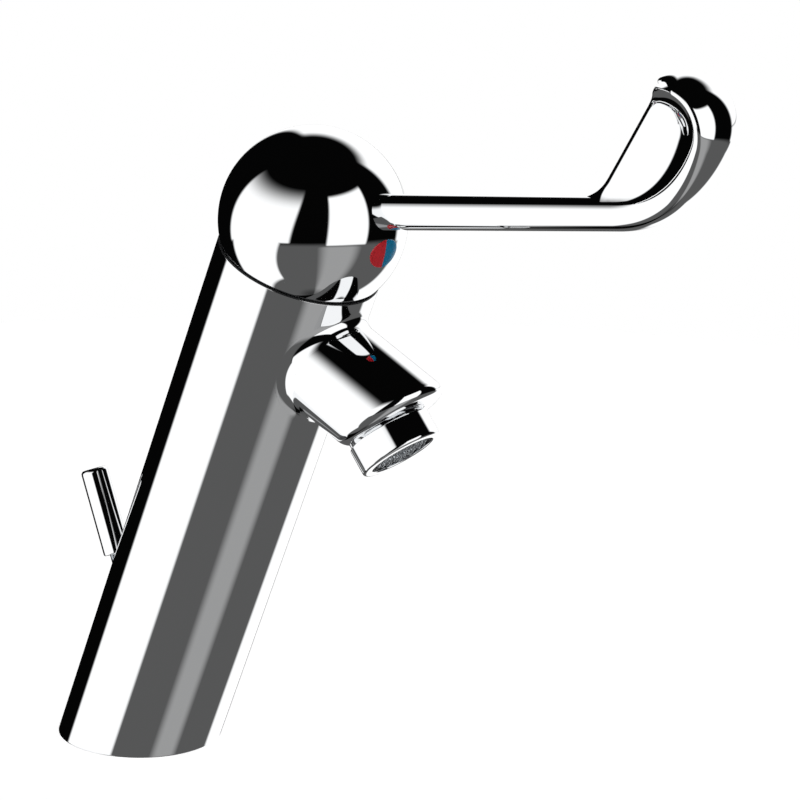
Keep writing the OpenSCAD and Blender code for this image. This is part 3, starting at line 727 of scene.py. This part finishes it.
class TAP_OT_lever_web(bpy.types.Operator):
    """Builds the web inside the lever's bend"""

    bl_idname = "tap.lever_web"
    bl_label = "Lever web"

    def execute(self, context):
        form = LeverForm(context.scene)
        h = form.sizes
        # Straight lines from the blade's centre line to the web's back edge. The first start
        # inside the bar, before the web's foot
        u, inside = np.linspace(0, 1, 200)[1:-1], 3 * MM
        lead = h.web_lead + inside
        t = u * (form.whole + lead) - lead
        p, q, turn = form.line(t)
        edge = self.back_edge(form, u)
        v = np.linspace(0, 1, 96)
        half = self.half_thickness(form, t, turn, edge - np.stack([p, q], -1), edge, v)
        web_p = p[:, None] * (1 - v) + edge[:, :1] * v
        web_q = q[:, None] * (1 - v) + edge[:, 1:] * v
        # One side out to the edge, then the other side back
        back = slice(-2, 0, -1)
        grid = form.point(
            np.hstack([web_p, web_p[:, back]]), np.hstack([web_q, web_q[:, back]]),
            np.hstack([-half, half[:, back]]),
        )
        web = capped_mesh("lever_web", grid)
        place(web, "handle", "chrome", "lever_arm")
        # Its mirror image is kept off the cap's face
        web.visible_glossy = False
        return {"FINISHED"}

    def back_edge(self, form, u):
        """The back edge: a quadratic Bezier curve off the bar's top, then straight to the tip."""
        h = form.sizes
        curve_share, foot_sunk = 0.15, 0.3 * MM
        last, way = form.tip()
        end = last + way
        foot = np.array([h.bend_start - h.web_lead, h.lever_offset + h.neck_radius - foot_sunk])
        first = foot + h.web_fillet * unit(end - foot)
        early = np.clip(u / curve_share, 0, 1)[:, None]
        late = np.clip((u - curve_share) / (1 - curve_share), 0, 1)[:, None]
        return bezier(early, foot - [h.web_fillet, 0], foot, first) + late * (end - first)

    def half_thickness(self, form, t, turn, inward, edge, v):
        """Half thickness at share v of each line. Inside the blade it follows the bow, then it
        falls in a hollow arc from the rim to the flat of the web, and at last it thins to the back
        edge along an oval."""
        h = form.sizes
        width, thick, bow = form.section(t)
        least_depth, least_fall = 0.2 * MM, 0.05 * MM
        # Depth inside the blade's centre line, square to it
        square = inward[:, 1] * np.cos(turn) - inward[:, 0] * np.sin(turn)
        depth = v * np.clip(square, least_depth, None)[:, None]
        # Where the web's side leaves the blade: 120 degrees round the blade's section
        rim_flat, rim_sine, rim_cosine, rim_bow = 0.974, 0.866, 0.5, 0.95
        meet_half = ((width - thick) * rim_flat + thick * rim_sine)[:, None]
        meet_depth = (rim_cosine * thick + rim_bow * bow)[:, None]
        # The hollow arc, from that place down to the flat of the web
        bar_share, hollow_reach = 0.8, 2.3
        flat_half = np.minimum(h.web_half, bar_share * width)[:, None]
        fall = np.maximum(meet_half - flat_half, least_fall)
        reach = hollow_reach * fall
        radius = (fall ** 2 + reach ** 2) / (2 * fall)
        left = np.clip(reach + meet_depth - depth, 0, reach)
        half = flat_half + radius - other_leg(radius, left)
        half = np.where(depth < meet_depth, meet_half * np.sqrt(depth / meet_depth), half)
        # The thinning, by the distance from the back edge
        edge_power = 0.6
        slope = np.gradient(edge, axis=0)
        slant = np.abs(slope[:, 0] * inward[:, 1] - slope[:, 1] * inward[:, 0])
        slant = (slant / np.hypot(*slope.T))[:, None]
        thin = np.clip(1 - (1 - v) * slant / h.web_edge, 0, 1)
        return half * (1 - thin ** 2) ** edge_power


class TAP_OT_aerator(bpy.types.Operator):
    """Builds the chromed collar of the aerator and the dimpled grille in its mouth"""

    bl_idname = "tap.aerator"
    bl_label = "Aerator"

    def execute(self, context):
        s = context.scene.tap_barrel
        forward, along = leaning(s.lean)
        axis, _, root = spout_axes(s)
        corner = root + s.spout_reach * axis
        lean = s.spout_droop + s.outlet_turn
        out = math.cos(lean) * forward - math.sin(lean) * along
        top, mouth = s.outlet_length, s.outlet_length + s.collar_length
        # The collar's section: a shadow groove under the spout, a straight wall, a rounded mouth
        # and the bore
        groove_r, groove_end = s.collar_radius - s.collar_groove, top + s.collar_groove
        profile = rounded([
            (s.collar_bore, top - s.collar_root, 0.0),
            (groove_r, top - s.collar_root, 0.0),
            (groove_r, groove_end, 0.0),
            (s.collar_radius, groove_end, s.collar_shoulder),
            (s.collar_radius, mouth, s.collar_mouth),
            (s.collar_bore, mouth, s.collar_lip),
        ])
        collar = grid_mesh("aerator_collar", lathe(profile, corner, Y_AXIS, out), wrap_rows=True)
        place(collar, "tap_body", "chrome", "aerator_housing")

        # The grille: a disc whose face waves by a cosine of the radius times a cosine of the turn,
        # and a flat back
        a, nearest = turns(288), 0.02
        r = np.linspace(nearest, 1, 72)[:, None] * s.grille_radius
        wave = np.cos(TURN * r / s.grille_pitch) * np.cos(s.grille_spokes * a)
        face = s.grille_wave * wave - s.grille_depth
        behind = 0 * face - s.grille_depth - s.grille_thick
        radii = np.vstack([r, r[::-1]]) + 0 * a
        level = mouth + np.vstack([face, behind])
        spoke = np.cos(a)[:, None] * Y_AXIS + np.sin(a)[:, None] * np.cross(out, Y_AXIS)
        grid = corner + level[..., None] * out + radii[..., None] * spoke
        grille = capped_mesh("aerator_grille_disc", grid)
        place(grille, "tap_body", "steel", "aerator_grille")
        return {"FINISHED"}


class TAP_OT_lift_rod(bpy.types.Operator):
    """Builds the lift rod and its knob"""

    bl_idname = "tap.lift_rod"
    bl_label = "Lift rod and knob"

    def execute(self, context):
        h = context.scene.tap_handle
        along = np.array([-math.sin(h.rod_lean), 0.0, math.cos(h.rod_lean)])
        foot = np.array([h.rod_offset, 0.0, 0.0])
        middle, top = h.knob_start + h.knob_length / 2, h.knob_start + h.knob_length
        rod = (h.rod_start, middle, h.rod_radius, h.rod_edge, 0.0)
        knob = (h.knob_start, top, h.knob_radius, h.knob_foot, h.knob_top)
        # Each is a straight bar with rounded ends, turned round the rod's axis
        near_axis = 0.2 * MM
        for name, (low, high, radius, low_edge, high_edge), slot, node in (
            ("lift_rod_bar", rod, "steel", "lift_rod"),
            ("lift_rod_knob", knob, "chrome", "lift_knob"),
        ):
            profile = rounded([
                (near_axis, low, 0.0), (radius, low, low_edge),
                (radius, high, high_edge), (near_axis, high, 0.0),
            ])
            piece = grid_mesh(
                name, lathe(profile, foot, Y_AXIS, along, 96),
                start_pole=foot + low * along, end_pole=foot + high * along,
            )
            place(piece, "plug_rod", slot, node)
        return {"FINISHED"}


# Camera: its bearing round the object, its height angle, where it stands, and its lens
CAMERA_AZIMUTH = math.radians(38.759)
CAMERA_RISE = math.radians(14.296)
CAMERA_PLACE = (0.66327, -0.69205, 0.35307)
CAMERA_LENS = 141.24
CAMERA_SENSOR = 36

# Floor of the studio: its radius, its drop below the base, and its own glow to the camera
FLOOR_RADIUS = 0.6
FLOOR_DROP = 0.05 * MM
FLOOR_GLOW = 0.82

# Light zones of the studio, and below the horizon the floor's light and shade, painted: bearing from
# and to in degrees, with right of the camera as plus, lean of the sides, their softness, height from
# and to in degrees, how far the top fades, and brightness
LIGHT_ZONES = [
    # Soft box at the left, and below it the floor with painted light where that box lights it
    (-113, -23, 0.30, 2.5, -17, 47, 0.35, 1.15),
    (-104, -30, 0.60, 3, -59, -11, 0.02, 1.15),
    # Soft box at the right
    (20, 72, 0.12, 2, -20, 38, 0.03, 1.15),
    # White backdrop behind the tap in two parts that meet at the back
    (123, 204, -0.13, 4, -5, 48, 0.15, 1.15),
    (-242, -171, 0.0, 3, -5, 48, 0.15, 1.15),
    # Its foot, and the floor before it with painted light; they stop short of the back and so draw
    # thin edges
    (123, 173, -0.13, 4, -18, -5, 0.02, 1.15),
    (130, 173, 0.0, 4, -60, -15, 0.02, 1.15),
    # Painted shade of the white floor in front and behind, where less light falls, with a strip of
    # painted light in front
    (-113, 204, 0.0, 1, -95, -17, 0.06, 0.105),
    (-242, -156, 0.0, 1, -95, -17, 0.06, 0.105),
    (10, 62, 0.0, 13, -95, -20, 0.03, 0.36),
]
ZONE_EDGE = 0.02
DARK_LEVEL = 0.0015


class TAP_OT_stage(bpy.types.Operator):
    """Builds the studio: soft boxes round the tap, a pale floor and the camera"""

    bl_idname = "tap.stage"
    bl_label = "Studio and camera"

    def execute(self, context):
        scene = context.scene
        scene.view_settings.view_transform = "Standard"
        self.studio(scene)
        self.floor(scene)
        self.camera(scene)
        return {"FINISHED"}

    def camera(self, scene):
        """The camera, turned level and looking along its bearing and height angle."""
        back = Vector((
            math.sin(CAMERA_AZIMUTH) * math.cos(CAMERA_RISE),
            -math.cos(CAMERA_AZIMUTH) * math.cos(CAMERA_RISE),
            math.sin(CAMERA_RISE),
        ))
        right = Vector((math.cos(CAMERA_AZIMUTH), math.sin(CAMERA_AZIMUTH), 0.0))
        turned = Matrix((right, back.cross(right), back)).transposed().to_4x4()
        data = bpy.data.cameras.new("camera")
        data.lens = CAMERA_LENS
        data.sensor_width = CAMERA_SENSOR
        camera = bpy.data.objects.new("camera", data)
        camera.matrix_world = Matrix.Translation(CAMERA_PLACE) @ turned
        scene.collection.objects.link(camera)
        scene.camera = camera

    def studio(self, scene):
        """World light by direction: bearing round the upright axis from the camera, and height."""
        world = bpy.data.worlds.new("studio")
        scene.world = world
        world.use_nodes = True
        tree = world.node_tree
        tree.nodes.clear()

        def band(value, low, high, soft_low, soft_high):
            """1 between low and high, with soft edges: a smooth rise times a smooth fall."""
            rise = add(tree, "ShaderNodeMapRange", {
                "Value": value, "From Min": low - soft_low, "From Max": low + soft_low,
            }, interpolation_type="SMOOTHSTEP")
            fall = add(tree, "ShaderNodeMapRange", {
                "Value": value, "From Min": high - soft_high, "From Max": high + soft_high,
                "To Min": 1.0, "To Max": 0.0,
            }, interpolation_type="SMOOTHSTEP")
            both = {0: rise.outputs["Result"], 1: fall.outputs["Result"]}
            return add(tree, "ShaderNodeMath", both, operation="MULTIPLY").outputs["Value"]

        way = add(tree, "ShaderNodeTexCoord").outputs["Generated"]
        height = add(tree, "ShaderNodeSeparateXYZ", {0: way}).outputs["Z"]
        ahead = add(tree, "ShaderNodeVectorMath", {
            0: way, 1: (math.sin(CAMERA_AZIMUTH), -math.cos(CAMERA_AZIMUTH), 0.0),
        }, operation="DOT_PRODUCT")
        aside = add(tree, "ShaderNodeVectorMath", {
            0: way, 1: (math.cos(CAMERA_AZIMUTH), math.sin(CAMERA_AZIMUTH), 0.0),
        }, operation="DOT_PRODUCT")
        bearing = add(tree, "ShaderNodeMath", {
            0: aside.outputs["Value"], 1: ahead.outputs["Value"],
        }, operation="ARCTAN2")
        # Each zone is a band of bearing times a band of height, and the brightest zone shows
        light = DARK_LEVEL
        for low, high, lean, soft, bottom, top, fade, level in LIGHT_ZONES:
            low, high, soft, bottom, top = np.radians((low, high, soft, bottom, top)).tolist()
            leaned = add(tree, "ShaderNodeMath", {
                0: height, 1: -lean, 2: bearing.outputs["Value"],
            }, operation="MULTIPLY_ADD")
            wide = band(leaned.outputs["Value"], low, high, soft, soft)
            tall = band(
                height, math.sin(bottom), math.sin(top) - fade / 2,
                ZONE_EDGE, ZONE_EDGE + fade / 2,
            )
            patch = add(tree, "ShaderNodeMath", {0: wide, 1: tall}, operation="MULTIPLY")
            zone = add(tree, "ShaderNodeMath", {
                0: patch.outputs["Value"], 1: level,
            }, operation="MULTIPLY")
            brightest = add(tree, "ShaderNodeMath", {
                0: light, 1: zone.outputs["Value"],
            }, operation="MAXIMUM")
            light = brightest.outputs["Value"]
        # The soft boxes' light, with the floor's painted light and shade below the horizon
        boxes_and_painted_floor = add(tree, "ShaderNodeBackground", {"Color": light, "Strength": 1.0})
        white = add(tree, "ShaderNodeBackground", {"Color": colour("#FFFFFF"), "Strength": 1.0})
        rays = add(tree, "ShaderNodeLightPath")
        shown = add(tree, "ShaderNodeMixShader", {
            0: rays.outputs["Is Camera Ray"], 1: boxes_and_painted_floor.outputs[0], 2: white.outputs[0],
        })
        add(tree, "ShaderNodeOutputWorld", {"Surface": shown.outputs[0]})

    def floor(self, scene):
        """A pale round floor, white to the camera with a soft shadow. The metal mirrors the studio's
        own floor zones in its place, with the floor's painted light and shade."""
        a = turns(96)
        disc = [FLOOR_RADIUS * np.cos(a), FLOOR_RADIUS * np.sin(a), 0 * a - FLOOR_DROP]
        mesh = bpy.data.meshes.new("floor")
        mesh.from_pydata(np.stack(disc, -1).tolist(), [], [list(range(len(a)))])
        obj = bpy.data.objects.new("floor", mesh)
        scene.collection.objects.link(obj)
        # White studio paper: matt
        material = bpy.data.materials.new("floor_paper_white")
        material.use_nodes = True
        tree = material.node_tree
        tree.nodes.clear()
        paper = add(tree, "ShaderNodeBsdfDiffuse", {"Color": scene.tap_colours.paper})
        glow = add(tree, "ShaderNodeEmission", {"Color": colour("#FFFFFF"), "Strength": FLOOR_GLOW})
        lit = add(tree, "ShaderNodeAddShader", {0: paper.outputs[0], 1: glow.outputs[0]})
        rays = add(tree, "ShaderNodeLightPath")
        shown = add(tree, "ShaderNodeMixShader", {
            0: rays.outputs["Is Camera Ray"], 1: paper.outputs[0], 2: lit.outputs[0],
        })
        add(tree, "ShaderNodeOutputMaterial", {"Surface": shown.outputs[0]})
        mesh.materials.append(material)
        obj.visible_glossy = False


class TAP_PT_panel(bpy.types.Panel):
    """Lists the pieces of the tap, their sizes and their colours"""

    bl_idname = "TAP_PT_panel"
    bl_label = "Elbow lever tap"
    bl_space_type = "VIEW_3D"
    bl_region_type = "UI"
    bl_category = "Tap"

    def draw(self, context):
        for operator in OPERATORS:
            self.layout.operator(operator.bl_idname)
        for name in GROUPS:
            group = getattr(context.scene, name)
            box = self.layout.box()
            for key in group.__annotations__:
                box.prop(group, key)


OPERATORS = (
    TAP_OT_inner_parts, TAP_OT_barrel, TAP_OT_seat_lip, TAP_OT_spout, TAP_OT_spout_fillet,
    TAP_OT_cap, TAP_OT_marker, TAP_OT_lever, TAP_OT_lever_web, TAP_OT_aerator, TAP_OT_lift_rod,
    TAP_OT_stage,
)
GROUPS = {"tap_barrel": TapBarrelSizes, "tap_handle": TapHandleSizes, "tap_colours": TapColours}
CLASSES = (*GROUPS.values(), *OPERATORS, TAP_PT_panel)


def register():
    """Registers the classes and hangs the property groups on the scene."""
    for item in CLASSES:
        bpy.utils.register_class(item)
    for name, group in GROUPS.items():
        setattr(bpy.types.Scene, name, bpy.props.PointerProperty(type=group))


def unregister():
    """Takes away what register added, in reverse."""
    for name in reversed(GROUPS):
        delattr(bpy.types.Scene, name)
    for item in reversed(CLASSES):
        bpy.utils.unregister_class(item)


def main():
    register()
    for operator in OPERATORS:
        group, name = operator.bl_idname.split(".")
        getattr(getattr(bpy.ops, group), name)()


if __name__ == "__main__":
    main()
